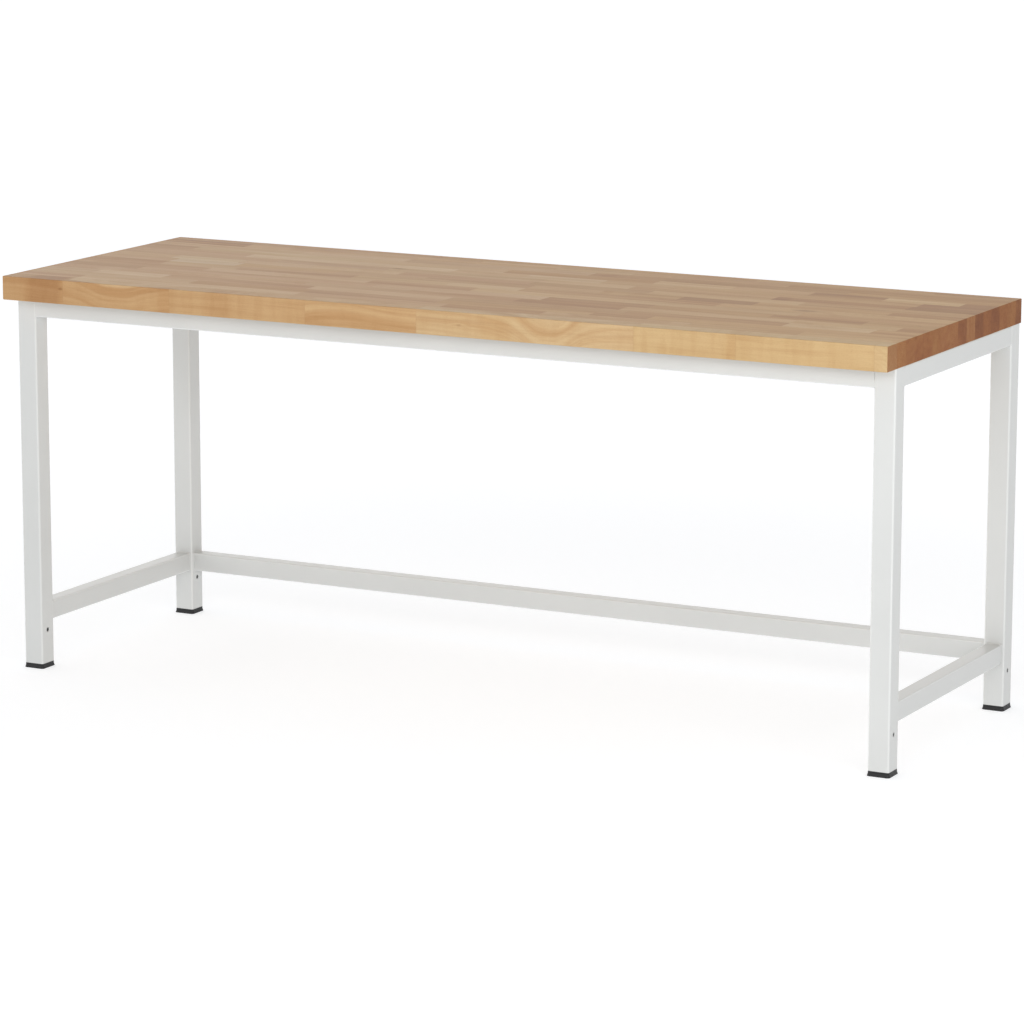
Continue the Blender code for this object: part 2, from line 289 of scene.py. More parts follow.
    # end grain drinks the oil: darker and redder, with fine pores
    pores = t.node(
        "ShaderNodeTexVoronoi",
        {"Vector": t.vec("MULTIPLY", own, (0.0, 1700.0, 1700.0)), "Scale": 1.0},
        feature="F1",
    ).outputs["Distance"]
    pore = t.remap(pores, 0.18, 0.42, 1.0, 0.0)
    cut = t.mix(1.0, colour, (0.638, 0.430, 0.350), "MULTIPLY")
    cut = t.mix(gold, cut, (0.98, 0.98, 0.76), "MULTIPLY")
    cut = t.mix(t.math("MULTIPLY", pore, 0.35), cut, (0.60, 0.50, 0.45), "MULTIPLY")
    cut = t.mix(t.math("MULTIPLY", ring, 0.45), cut, (0.70, 0.58, 0.50), "MULTIPLY")
    colour = t.mix(end, colour, cut)

    # glue lines
    lx, ly, _ = t.parts(t.vec("SUBTRACT", p, low))
    hx, hy, _ = t.parts(t.vec("SUBTRACT", high, p))
    near = t.math("MINIMUM", t.math("MINIMUM", lx, hx), t.math("MINIMUM", ly, hy))
    glue = t.remap(near, 0.00008, 0.00045, 1.0, 0.0)
    colour = t.mix(t.math("MULTIPLY", glue, 0.34), colour, (0.50, 0.36, 0.26), "MULTIPLY")

    t.put(t.shader.inputs["Base Color"], colour)
    gloss = t.math("MULTIPLY_ADD", ray, 0.06, t.math("MULTIPLY_ADD", streak, 0.10, 0.50))
    gloss = t.math("MULTIPLY_ADD", end, 0.14, gloss)
    t.put(t.shader.inputs["Roughness"], gloss)
    height = t.math("MULTIPLY_ADD", fibre, 0.35, t.math("MULTIPLY", ring, -0.25))
    height = t.math("MULTIPLY_ADD", ray, -0.35, height)
    height = t.math("MULTIPLY_ADD", t.math("MULTIPLY", pore, end), -0.5, height)
    height = t.math("MULTIPLY_ADD", glue, -0.8, height)
    t.put(t.shader.inputs["Normal"], t.bump(height, 0.45, 0.00012))
    t.shader.inputs["IOR"].default_value = 1.44
    return t.mat


def powder_coat():
    """Light grey powder coat with a fine orange peel."""
    t = Tree("light_grey_powder_coat")
    p = t.place()
    peel = t.noise(p, 520.0, 2.0, 0.5)
    grit = t.noise(p, 2600.0, 1.0, 0.5)
    drift = t.noise(p, 5.5, 3.0, 0.5)
    colour = t.ramp(
        t.math("MULTIPLY_ADD", grit, 0.25, t.math("MULTIPLY", drift, 0.75)),
        [
            (0.25, (0.572, 0.580, 0.569)),
            (0.50, (0.593, 0.601, 0.590)),
            (0.75, (0.612, 0.620, 0.609)),
        ],
    )
    # painted highlight: lighter base colour along the middle of the rounded tube corners and on the marked weld runs
    painted_corner_highlight = t.node("ShaderNodeAttribute", attribute_name="painted_corner_highlight").outputs["Fac"]
    colour = t.mix(painted_corner_highlight, colour, (0.700, 0.707, 0.697))
    t.put(t.shader.inputs["Base Color"], colour)
    gloss = t.math("MULTIPLY_ADD", drift, 0.10, 0.28)
    gloss = t.math("MULTIPLY_ADD", grit, 0.06, gloss)
    t.put(t.shader.inputs["Roughness"], gloss)
    height = t.math("MULTIPLY_ADD", grit, 0.12, peel)
    t.put(t.shader.inputs["Normal"], t.bump(height, 0.22, 0.00010))
    return t.mat


def black_plastic():
    """Moulded black polyethylene with a spark-eroded grain, greyer in soft patches."""
    t = Tree("black_moulded_plastic")
    p = t.place()
    grain = t.noise(p, 1500.0, 3.0, 0.6)
    rub = t.noise(p, 130.0, 4.0, 0.6)
    colour = t.ramp(
        t.math("MULTIPLY_ADD", grain, 0.4, t.math("MULTIPLY", rub, 0.6)),
        [
            (0.30, (0.005, 0.005, 0.006)),
            (0.55, (0.009, 0.009, 0.010)),
            (0.80, (0.020, 0.020, 0.020)),
        ],
    )
    t.put(t.shader.inputs["Base Color"], colour)
    t.put(t.shader.inputs["Roughness"], t.math("MULTIPLY_ADD", rub, 0.25, 0.36))
    t.put(t.shader.inputs["Normal"], t.bump(grain, 0.35, 0.00012))
    t.shader.inputs["Specular IOR Level"].default_value = 0.40
    return t.mat


def zinc():
    """Bright zinc plate, a little cloudy."""
    t = Tree("bright_zinc_plate")
    p = t.place()
    cloud = t.noise(p, 420.0, 4.0, 0.6)
    fine = t.noise(p, 4200.0, 2.0, 0.5)
    colour = t.ramp(
        cloud,
        [
            (0.30, (0.52, 0.53, 0.54)),
            (0.55, (0.63, 0.63, 0.62)),
            (0.80, (0.70, 0.69, 0.66)),
        ],
    )
    t.put(t.shader.inputs["Base Color"], colour)
    t.put(t.shader.inputs["Roughness"], t.math("MULTIPLY_ADD", cloud, 0.22, 0.22))
    t.put(t.shader.inputs["Normal"], t.bump(fine, 0.15, 0.00004))
    t.shader.inputs["Metallic"].default_value = 1.0
    return t.mat


BEECH, PAINT, BLACK, ZINC = beech(), powder_coat(), black_plastic(), zinc()


# ------------------------------------------------------------- mesh helpers
TURN = {
    "X": lambda u, v, w: (w, u, v),
    "Y": lambda u, v, w: (v, w, u),
    "Z": lambda u, v, w: (u, v, w),
}


def rounded(a, b, r, n=8):
    """Rounded rectangle of half sizes a and b, counter-clockwise."""
    pts = []
    for k, (sx, sy) in enumerate(((1, 1), (-1, 1), (-1, -1), (1, -1))):
        for i in range(n + 1):
            t = math.pi / 2 * (k + i / n)
            pts.append((sx * (a - r) + r * math.cos(t), sy * (b - r) + r * math.sin(t)))
    return pts


def loft(rings, wrap=False, caps=True):
    """Skin over rings of equal count; wrap joins the last ring to the first."""
    count = len(rings[0])
    verts = [p for ring in rings for p in ring]
    faces = []
    for i in range(len(rings) if wrap else len(rings) - 1):
        a, b = i * count, (i + 1) % len(rings) * count
        for j in range(count):
            k = (j + 1) % count
            faces.append((a + j, a + k, b + k, b + j))
    if caps and not wrap:
        faces.append(tuple(reversed(range(count))))
        faces.append(tuple(range((len(rings) - 1) * count, len(rings) * count)))
    return verts, faces


def raw(name, verts, faces):
    mesh = bpy.data.meshes.new(name)
    mesh.from_pydata([tuple(v) for v in verts], [], faces)
    bm = bmesh.new()
    bm.from_mesh(mesh)
    bmesh.ops.remove_doubles(bm, verts=bm.verts, dist=1e-7)
    bmesh.ops.recalc_face_normals(bm, faces=bm.faces)
    bm.to_mesh(mesh)
    bm.free()
    obj = bpy.data.objects.new(name, mesh)
    bpy.context.scene.collection.objects.link(obj)
    return obj


def cut(obj, *cutters):
    """Takes the cutters out of obj for good."""
    for c in cutters:
        mod = obj.modifiers.new("cut", "BOOLEAN")
        mod.operation, mod.solver, mod.object = "DIFFERENCE", "EXACT", c
    bpy.context.view_layer.update()
    seen = obj.evaluated_get(bpy.context.evaluated_depsgraph_get())
    mesh = bpy.data.meshes.new_from_object(seen)
    obj.modifiers.clear()
    old, obj.data = obj.data, mesh
    bpy.data.meshes.remove(old)
    for c in cutters:
        mesh = c.data
        bpy.data.objects.remove(c)
        bpy.data.meshes.remove(mesh)
    return obj


def turned(name, axis, centre, profile, sides=32):
    """Solid of revolution about an axis through centre; profile is (w, r)."""
    place, c = TURN[axis], Vector(centre)
    rings = []
    for w, r in profile:
        rings.append(
            [
                c
                + Vector(
                    place(
                        r * math.cos(2 * math.pi * i / sides),
                        r * math.sin(2 * math.pi * i / sides),
                        w,
                    )
                )
                for i in range(sides)
            ]
        )
    return raw(name, *loft(rings))


def finish(obj, material, node, sharp=32):
    """Smooth shading with crisp edges, a material, and the node it stands for."""
    mesh = obj.data
    mesh.materials.clear()
    mesh.materials.append(material)
    mesh.polygons.foreach_set("use_smooth", [True] * len(mesh.polygons))
    mesh.set_sharp_from_angle(angle=math.radians(sharp))
    mod = obj.modifiers.new("even_normals", "WEIGHTED_NORMAL")
    mod.keep_sharp = True
    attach(obj, "root")
    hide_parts(node)
    return obj


# ------------------------------------------------------------------ worktop
# Rows of staves, front to rear, and the staves that stand out most. The rest
# of each row is filled with staves of ordinary length and tone.
ROW_EDGES = [-0.35, -0.3035]
while len(ROW_EDGES) < 16:
    ROW_EDGES.append(ROW_EDGES[-1] + 0.0443)
ROW_EDGES.append(0.35)

PALE, LIGHT, EVEN, DARK, DEEP = 0.06, 0.18, 0.35, 0.565, 0.73
STAND_OUT = {
    1: [(-0.85, -0.325, PALE), (0.015, 0.235, DARK), (0.79, 1.0, LIGHT)],
    2: [(-0.325, -0.02, DARK), (0.325, 0.45, DARK)],
    3: [(-0.865, -0.695, PALE), (-0.345, -0.02, LIGHT), (0.375, 0.72, DARK), (0.72, 0.905, PALE)],
    4: [(0.11, 0.3475, DEEP), (0.3475, 0.72, LIGHT), (0.94, 1.0, DARK)],
    5: [(-1.0, -0.81, DARK), (0.15, 0.3875, DEEP), (0.65, 0.85, DARK)],
    6: [(-0.675, -0.485, LIGHT), (-0.28, -0.037, DARK), (-0.037, 0.31, LIGHT)],
    7: [(-0.12, 0.05, PALE)],
    8: [(-0.8125, -0.65, PALE), (0.05, 0.21, EVEN), (0.39, 0.556, DEEP), (0.8475, 1.0, DARK)],
    9: [(-0.8375, -0.669, PALE), (-0.494, -0.281, LIGHT), (0.025, 0.30, DARK), (0.30, 0.6375, LIGHT)],
    10: [(0.03, 0.2375, LIGHT), (0.85, 1.0, DEEP)],
    11: [(-0.706, -0.20, PALE), (-0.03, 0.15, PALE), (0.15, 0.31, EVEN), (0.856, 1.0, DEEP)],
    12: [(-1.0, -0.87, DARK), (0.25, 0.425, PALE), (0.60, 0.7625, DARK), (0.7625, 0.93, PALE), (0.93, 1.0, DARK)],
    13: [(-0.625, -0.3625, LIGHT), (0.08, 0.25, DARK)],
    14: [(-1.0, -0.7875, DEEP), (-0.3625, -0.2125, EVEN), (-0.025, 0.156, EVEN)],
    15: [(0.82, 1.0, DARK)],
}

# larger knots on the top: row, x, y and size
TOP_KNOTS = [(7, 0.683, -0.011, 5.0), (10, -0.319, 0.135, 3.2)]


def fill(start, stop, before):
    """Joints that split a run into staves of ordinary length, clear of the
    joints of the row in front."""
    best = None
    for _ in range(40):
        n = max(1, round((stop - start) / rng.uniform(0.24, 0.42)))
        cuts = [rng.uniform(0.75, 1.25) for _ in range(n)]
        scale, at, joints = (stop - start) / sum(cuts), start, []
        for c in cuts[:-1]:
            at += c * scale
            joints.append(at)
        clear = min([abs(j - b) for j in joints for b in before] or [1.0])
        if best is None or clear > best[0]:
            best = (clear, joints)
        if clear > 0.035:
            break
    return best[1]


def rows():
    """[(joints, {(from, to): tone})] for every row."""
    made, before = [], []
    for r in range(16):
        if r == 0:
            joints, tones = [-0.850, -0.590, -0.268, -0.012, 0.468, 0.686, 0.973], {}
        else:
            marks, tones, joints, at = STAND_OUT.get(r, []), {}, [], -1.0
            for a, b, tone in marks + [(1.0, 1.0, None)]:
                if a - at > 0.05:
                    joints += fill(at, a, before)
                if -1.0 < a < 1.0:
                    joints.append(a)
                if tone is not None:
                    tones[(a, b)] = tone
                at = b
                if -1.0 < b < 1.0 and (not marks or b != a):
                    joints.append(b)
            joints = sorted(set(round(j, 4) for j in joints))
        made.append((joints, tones))
        before = joints
    return made


ROWS = rows()


NOWHERE = (0.0, 0.0, -9.0)

# rows whose right end is darker or paler than the stave's top
END_TONE = {4: -0.16, 7: 0.12, 8: 0.12, 9: -0.16, 11: -0.16, 12: 0.12, 14: -0.16, 15: 0.12}


def staves():
    """One record per stave: its box in x and y, and how its wood grew."""
    out = []
    front = (
        # look: tone, warmth, figure; gold and curl; pith: y, z, ring width;
        # lean: y, z, hump height; hump: x, width; heart: radius, edge, tone;
        # flush: x, half length, tone; knot; seed of the noise
        {
            "look": (0.45, 0.75, 0.60), "gold": 0.45, "flame": 0.45,
            "pith": (0.040, -0.075, 0.0034), "lean": (0.05, 0.06, 0.004), "hump": (-0.97, 0.03),
            "flush": (-0.897, 0.042, 0.26), "knot": (-0.8555, -0.35, 0.832),
            "seed": (5.79, 52.95, 29.66),
        },
        {
            "look": (0.40, 0.75, 0.95), "gold": 0.45, "flame": 0.35,
            "pith": (0.020, 0.045, 0.0090), "lean": (0.02, 0.0, -0.030), "hump": (-0.722, 0.075),
            "heart": (0.0506, 0.0016, -0.26), "flush": (-0.60, 0.014, 0.12),
            "seed": (52.77, 43.00, 28.76),
        },
        {
            "look": (0.38, 0.68, 0.50), "gold": 0.45, "flame": 0.65,
            "pith": (0.040, -0.090, 0.0032), "lean": (0.03, 0.02, 0.006), "hump": (-0.36, 0.10),
            "flush": (-0.475, 0.035, 0.09), "seed": (57.05, 33.44, 41.05),
        },
        {
            "look": (0.29, 0.62, 0.95), "gold": 0.45, "flame": 0.30,
            "pith": (0.020, -0.060, 0.0105), "lean": (0.02, 0.0, 0.015), "hump": (-0.19, 0.09),
            "heart": (0.0805, 0.0030, 0.13), "seed": (20.03, 58.54, 9.01),
        },
        {
            "look": (0.18, 0.35, 1.05), "gold": 0.50, "flame": 0.35,
            "pith": (0.030, 0.050, 0.0108), "lean": (0.01, 0.0, -0.050), "hump": (0.282, 0.060),
            "flush": (0.168, 0.030, 0.09), "knot": (0.084, -0.3482, 0.824),
            "seed": (14.68, 54.76, 25.97),
        },
        {
            "look": (0.23, 0.25, 0.45), "gold": 0.75, "flame": 0.60,
            "pith": (0.050, -0.070, 0.0030), "lean": (0.05, 0.03, 0.005), "hump": (0.55, 0.06),
            "flush": (0.680, 0.013, 0.11), "seed": (38.15, 47.30, 36.56),
        },
        {
            "look": (0.24, 0.22, 0.45), "gold": 0.78, "flame": 0.50,
            "pith": (-0.060, 0.060, 0.0031), "lean": (0.04, 0.02, -0.006), "hump": (0.80, 0.08),
            "seed": (47.45, 50.69, 42.54),
        },
        {
            "look": (0.15, 0.15, 0.70), "gold": 0.75, "flame": 0.20,
            "pith": (0.050, 0.050, 0.0060), "lean": (0.02, 0.55, 0.0), "hump": (0.98, 0.05),
            "seed": (52.66, 14.80, 13.25),
        },
    )
    for r, (joints, tones) in enumerate(ROWS):
        edges = [-1.0] + joints + [1.0]
        for i, (a, b) in enumerate(zip(edges, edges[1:])):
            angle = rng.uniform(0, 2 * math.pi)
            reach = rng.uniform(0.028, 0.11)
            tone = tones.get((round(a, 4), round(b, 4)))
            plain = tone is None
            if plain:
                tone = min(0.66, max(0.20, rng.gauss(0.395, 0.09)))
            # darker towards the right end: partly the staves' own tone, partly painted shade for the sheen that fades
            # there
            tone += 0.04 * (a + b) / 2 + 0.10 * max(0.0, (a + b) / 2 - 0.3)
            y0, y1 = ROW_EDGES[r], ROW_EDGES[r + 1]
            s = {
                "row": r,
                "x": (a, b),
                "y": (y0, y1),
                "look": (tone, min(1.0, max(0.3, rng.gauss(0.82, 0.18))), rng.uniform(0.45, 1.05)),
                # more golden towards the right end: partly the staves' own tone, partly painted in place of the sheen
                # that fades there
                "gold": min(
                    1.0, max(0.0, rng.gauss(0.60 + 0.46 * (a + b) / 2, 0.20 if plain else 0.12))
                ),
                "flame": 0.10,
                "vary": 0.0 if r == 0 else 0.64 if tone > 0.5 else 0.54,
                "pith": (reach * math.cos(angle), reach * math.sin(angle), rng.uniform(0.0024, 0.0046)),
                "lean": (rng.gauss(0, 0.05), rng.gauss(0, 0.05), rng.gauss(0, 0.012)),
                "hump": (rng.uniform(a, b), rng.uniform(0.05, 0.16)),
                "heart": (0.0, 0.004, 0.0),
                "flush": (0.0, 0.001, 0.0),
                "knot": NOWHERE,
                "knot_size": 1.0,
                "seed": (rng.uniform(5, 60), rng.uniform(5, 60), rng.uniform(5, 60)),
            }
            luck = (rng.random(), rng.random(), rng.random())
            radius, shade = rng.uniform(0.03, 0.09), rng.gauss(0.0, 0.10)
            where, length, tint = rng.uniform(a, b), rng.uniform(0.02, 0.07), rng.gauss(0.02, 0.08)
            spot = (rng.uniform(a, b), rng.uniform(y0, y1), rng.choice((0.80, 0.85, 0.85)))
            if luck[0] < 0.25 and plain:
                s["heart"] = (radius, 0.006, shade)
            if luck[1] < 0.22 and plain:
                s["flush"] = (where, length, tint)
            if luck[2] < 0.05 and plain:
                s["knot"] = spot
            for row, x, y, wide in TOP_KNOTS:
                if row == r and a <= x < b:
                    s.update(knot=(x, y, 0.85), knot_size=wide)
            if r == 0:
                s.update(heart=(0.0, 0.004, 0.0), flush=(0.0, 0.001, 0.0), knot=NOWHERE)
                s.update(front[i])
            out.append(s)
    return out


def worktop():
    lo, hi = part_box("worktop")
    mid, size = (lo + hi) / 2, hi - lo
    bm = bmesh.new()
    bmesh.ops.create_cube(bm, size=1.0)
    for v in bm.verts:
        v.co = mid + Vector((v.co.x * size.x, v.co.y * size.y, v.co.z * size.z))
    bmesh.ops.bevel(
        bm,
        geom=list(bm.edges),
        offset=0.0014,
        segments=4,
        profile=0.5,
        affect="EDGES",
        clamp_overlap=True,
    )

    def split(faces, at, normal):
        geom = set(faces)
        for f in faces:
            geom.update(f.edges)
            geom.update(f.verts)
        bmesh.ops.bisect_plane(bm, geom=list(geom), dist=1e-6, plane_co=at, plane_no=normal)

    for y in ROW_EDGES[1:-1]:
        split(list(bm.faces), (0, y, 0), (0, 1, 0))
    for r, (joints, _) in enumerate(ROWS):
        for x in joints:
            own = [
                f
                for f in bm.faces
                if ROW_EDGES[r] < f.calc_center_median().y < ROW_EDGES[r + 1]
                or (r == 0 and f.calc_center_median().y <= ROW_EDGES[0])
                or (r == 15 and f.calc_center_median().y >= ROW_EDGES[16])
            ]
            split(own, (x, 0, 0), (1, 0, 0))
    mesh = bpy.data.meshes.new("worktop_staves")
    bm.to_mesh(mesh)
    bm.free()
    obj = bpy.data.objects.new("worktop_staves", mesh)
    bpy.context.scene.collection.objects.link(obj)

    # pilot holes of the fixing screws
    drills = []
    for side in ("front", "rear"):
        for label in ("left", "middle", "right"):
            a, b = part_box(f"fixing_screw_{side}_{label}")
            x, y = (a.x + b.x) / 2, (a.y + b.y) / 2
            drills.append(
                turned(
                    "drill",
                    "Z",
                    (x, y, lo.z),
                    [(-0.002, 0.0034), (0.0, 0.0034), (0.0005, 0.0029), (0.0290, 0.0029), (0.0310, 0.0006)],
                    24,
                )
            )
    cut(obj, *drills)

    # every face learns which stave it belongs to
    mesh = obj.data
    all_staves = staves()
    names = ("low", "high", "mid", "pith", "lean", "look", "seed", "hump", "heart", "flush", "knot", "end")
    data = {n: [] for n in names}
    for poly in mesh.polygons:
        c = poly.center
        y = min(max(c.y, -0.3499), 0.3499)
        x = min(max(c.x, -0.9999), 0.9999)
        s = next(
            s
            for s in all_staves
            if s["x"][0] <= x <= s["x"][1] and s["y"][0] <= y <= s["y"][1]
        )
        (x0, x1), (y0, y1) = s["x"], s["y"]
        data["mid"] += [(x0 + x1) / 2, (y0 + y1) / 2, mid.z]
        data["low"] += [x0 if x0 > -1 else -9.0, y0 if y0 > -0.35 else -9.0, s["knot_size"]]
        data["high"] += [x1 if x1 < 1 else 9.0, y1 if y1 < 0.35 else 9.0, 0.0]
        for key in ("pith", "lean", "seed", "heart", "flush", "knot"):
            data[key] += list(s[key])
        # the underside has no oil and stays pale
        bare = poly.normal.z < -0.6
        tone, warm, figure = s["look"]
        if poly.normal.x > 0.6 and c.x > 0.99:
            tone += END_TONE.get(s["row"], 0.0)
        data["look"] += [max(0.0, 0.5 * tone - 0.10), 0.1, figure] if bare else [tone, warm, figure]
        data["hump"] += [*s["hump"], s["vary"]]
        data["end"] += [
            1.0 if abs(poly.normal.x) > 0.6 and abs(c.x) > 0.99 else 0.0,
            0.0 if bare else s["gold"],
            s["flame"],
        ]
    for n in names:
        layer = mesh.attributes.new("stave_" + n, "FLOAT_VECTOR", "FACE")
        layer.data.foreach_set("vector", data[n])
    return finish(obj, BEECH, "worktop")


worktop()


# -------------------------------------------------------------------- tubes
def tube(node, axis, radius, wall, holes=()):
    """Tube with rounded corners, broken ends and a painted highlight along the corners, where the node is."""
    lo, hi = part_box(node)
    mid, half = (lo + hi) / 2, (hi - lo) / 2
    u, v, w = {
        "X": (half.y, half.z, half.x),
        "Y": (half.z, half.x, half.y),
        "Z": (half.x, half.y, half.z),
    }[axis]
    e = 0.0003
    shape = [
        (e, 0.0, -w),
        (0.0, 0.0, -w + e),
        (0.0, 0.0, w - e),
        (e, 0.0, w),
        (wall - e * 0.5, 1.0, w),
        (wall, 1.0, w - e * 0.5),
        (wall, 1.0, -w + e * 0.5),
        (wall - e * 0.5, 1.0, -w),
    ]
    rings = []
    for inset, inner, at in shape:
        r = max(radius - inset, 0.0006)
        rings.append(
            [
                mid + Vector(TURN[axis](a, b, at))
                for a, b in rounded(u - inset, v - inset, r, 8)
            ]
        )
    obj = raw("tube_" + node, *loft(rings, wrap=True))
    if holes:
        cut(obj, *holes)
    # painted highlight: strongest at the middle of each rounded corner's arc, nothing on the flat faces
    back = {"X": (1, 2), "Y": (2, 0), "Z": (0, 1)}[axis]
    highlight_weight = []
    for p in obj.data.vertices:
        d = p.co - mid
        a, b = abs(d[back[0]]) - (u - radius), abs(d[back[1]]) - (v - radius)
        on = a > 0 and b > 0 and math.hypot(a, b) > radius - 0.0002
        highlight_weight.append(math.sin(2 * math.atan2(b, a)) ** 1.5 if on else 0.0)
    layer = obj.data.attributes.new("painted_corner_highlight", "FLOAT", "POINT")
    layer.data.foreach_set("value", highlight_weight)
    return finish(obj, PAINT, node)


LEG_HOLE, LEG_HOLE_Z = 0.0045, 0.082
for depth in ("front", "rear"):
    for side in ("left", "right"):
        node = f"leg_{depth}_{side}"
        lo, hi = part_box(node)
        x, y, h = (lo.x + hi.x) / 2, (lo.y + hi.y) / 2, (hi.x - lo.x) / 2
        drill = turned(
            "drill",
            "X",
            (x, y, LEG_HOLE_Z),
            [
                (-h - 0.002, LEG_HOLE + 0.0005),
                (-h, LEG_HOLE + 0.0005),
                (-h + 0.0005, LEG_HOLE),
                (h - 0.0005, LEG_HOLE),
                (h, LEG_HOLE + 0.0005),
                (h + 0.002, LEG_HOLE + 0.0005),
            ],
            40,
        )
        tube(node, "Z", 0.004, 0.002, [drill])

for node, axis in (
    ("upper_rail_front", "X"),
    ("upper_rail_rear", "X"),
    ("upper_rail_left", "Y"),
    ("upper_rail_right", "Y"),
    ("lower_rail_rear", "X"),
    ("lower_rail_left", "Y"),
    ("lower_rail_right", "Y"),
):
    tube(node, axis, 0.003, 0.002)


# -------------------------------------------------------------------- welds
ARC, BEAD = 8, 0.0024


def fillet_section(size):
    """Slightly full fillet: leg side first, rail side last, root behind."""
    pts = []
    for i in range(ARC + 1):
        a = math.pi / 2 * i / ARC
        o, w = math.cos(a) ** 1.5, math.sin(a) ** 1.5
        pts.append((size * o - 0.0002 * (i == ARC), size * w - 0.0007 * (i == 0)))
    return pts + [(-0.0004, -0.0007)]


def groove_section(size, crown):
    """Fills the groove between a leg's rounded corner and a flush rail, ground
    flush with a slight crown, or left hollow where the crown is negative."""
    pts = []
    for i in range(ARC + 1):
        k = i / ARC
        rise = crown * math.sin(math.pi * k) ** 0.8 * size / BEAD
        pts.append((rise - 0.00006, -0.0046 + k * 0.0064))
    return pts + [(-0.0032, -0.0006)]


def bead(node, at, away, flush, start=0.0075, crown=(0.00010, 0.00010), highlight_weight=0.0):
    """Weld bead where a rail butts against a leg. A low rail is welded all
    round; a flush rail outside (from start downwards), below and inside. The
    crown is that of the upper and of the lower part of the outer run, and the
    last argument is the strength of a painted highlight along that run."""
    at, away, up = Vector(at), Vector(away), Vector((0, 0, 1))
    half_w, half_h, r = 0.0175, 0.020, 0.003
    side = up.cross(away)
    path = []  # (point, outward, kind) with kind 0 in the groove, 1 a fillet

    def run(a, b, out, k0, k1):
        n = max(2, int((b - a).length / 0.0009))
        for i in range(n):
            s = i / n
            path.append((a.lerp(b, s), out, k0 + (k1 - k0) * s))

    def corner(centre, a, b, k0, k1):
        n = 7
        for i in range(n):
            s = i / n
            out = (a * math.cos(math.pi / 2 * s) + b * math.sin(math.pi / 2 * s)).normalized()
            path.append((centre + out * r, out, k0 + (k1 - k0) * s))

    if flush is None:
        dirs = [side, up, -side, -up]
        reach = [half_w, half_h, half_w, half_h]
        for i in range(4):
            a, b = dirs[i], dirs[(i + 1) % 4]
            ra, rb = reach[i], reach[(i + 1) % 4]
            run(at + a * ra - b * (rb - r), at + a * ra + b * (rb - r), a, 1, 1)
            corner(at + a * (ra - r) + b * (rb - r), a, b, 1, 1)
        closed = True
    else:
        outer = Vector(flush)
        inner = -outer
        run(at + outer * half_w + up * start, at + outer * half_w - up * (half_h - r), outer, 0, 0)
        corner(at + outer * (half_w - r) - up * (half_h - r), outer, -up, 0, 0.65)
        run(
            at + outer * (half_w - r) - up * half_h,
            at + inner * (half_w - r) - up * half_h,
            -up,
            0.65,
            1.35,
        )
        corner(at + inner * (half_w - r) - up * (half_h - r), -up, inner, 1, 1)
        run(at + inner * half_w - up * (half_h - r), at + inner * half_w + up * (half_h - 0.0035), inner, 1, 1)
        closed = False

    wander, s, rings, last, highlight_per_point = rng.uniform(0, 9), 0.0, [], None, []
    for i, (p, out, kind) in enumerate(path):
        s += (p - last).length if last is not None else 0.0
        last = p
        ripple = 0.035 * math.cos(2 * math.pi * s / 0.0021)
        slow = 0.05 * math.sin(s * 95 + wander) + 0.03 * math.sin(s * 231 + 2 * wander)
        size = BEAD * (1 + ripple + slow)
        if not closed:
            ends = min(i, len(path) - 1 - i)
            size *= min(1.0, 0.45 + 0.55 * math.sin(min(1.0, ends / 4) * math.pi / 2))
        k = min(1.0, max(0.0, kind))
        upper = min(1.0, max(0.0, ((p - at).z + 0.0075) / 0.004))
        rise = crown[1] + (crown[0] - crown[1]) * upper
        sec = [
            (g[0] + (f[0] - g[0]) * k, g[1] + (f[1] - g[1]) * k)
            for g, f in zip(groove_section(size, rise), fillet_section(size))
        ]
        rings.append([p + out * o + away * w for o, w in sec])
        # painted highlight on the groove run, strongest on the leg's side of each section
        highlight_per_point += [highlight_weight * (1 - k) * max(0.0, 1 - abs(j - 2) / 2.5) for j in range(len(sec))]
    obj = raw("bead_" + node, *loft(rings, wrap=closed))
    layer = obj.data.attributes.new("painted_corner_highlight", "FLOAT", "POINT")
    layer.data.foreach_set("value", highlight_per_point)
    return finish(obj, PAINT, node, 50)


for rail in (
    "upper_rail_front",
    "upper_rail_rear",
    "upper_rail_left",
    "upper_rail_right",
    "lower_rail_rear",
    "lower_rail_left",
    "lower_rail_right",
):
    lo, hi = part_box(rail)
    mid = (lo + hi) / 2
    along_x = rail.split("_")[2] in ("front", "rear")
    flush = {
        "upper_rail_front": (0, -1, 0),
        "upper_rail_rear": (0, 1, 0),
        "upper_rail_left": (-1, 0, 0),
        "upper_rail_right": (1, 0, 0),
    }.get(rail)
    label = "weld_" + rail.replace("_rail", "")
    # start and crown of each end's outer run; a third number paints a highlight into it
    one = two = (0.0165, (0.00010, 0.00010))
    if rail == "upper_rail_front":
        one, two = (0.0165, (-0.0003, -0.0003), 1.0), (0.0165, (-0.0024, -0.0004))
    if rail == "upper_rail_right":
        two = (0.0165, (-0.0018, -0.0018), 1.0)
    if along_x:
        bead(label + "_left_end", (lo.x - 0.0003, mid.y, mid.z), (1, 0, 0), flush, *one)
        bead(label + "_right_end", (hi.x + 0.0003, mid.y, mid.z), (-1, 0, 0), flush, *two)
    else:
        bead(label + "_front_end", (mid.x, lo.y - 0.0003, mid.z), (0, 1, 0), flush, *one)
        bead(label + "_rear_end", (mid.x, hi.y + 0.0003, mid.z), (0, -1, 0), flush, *two)


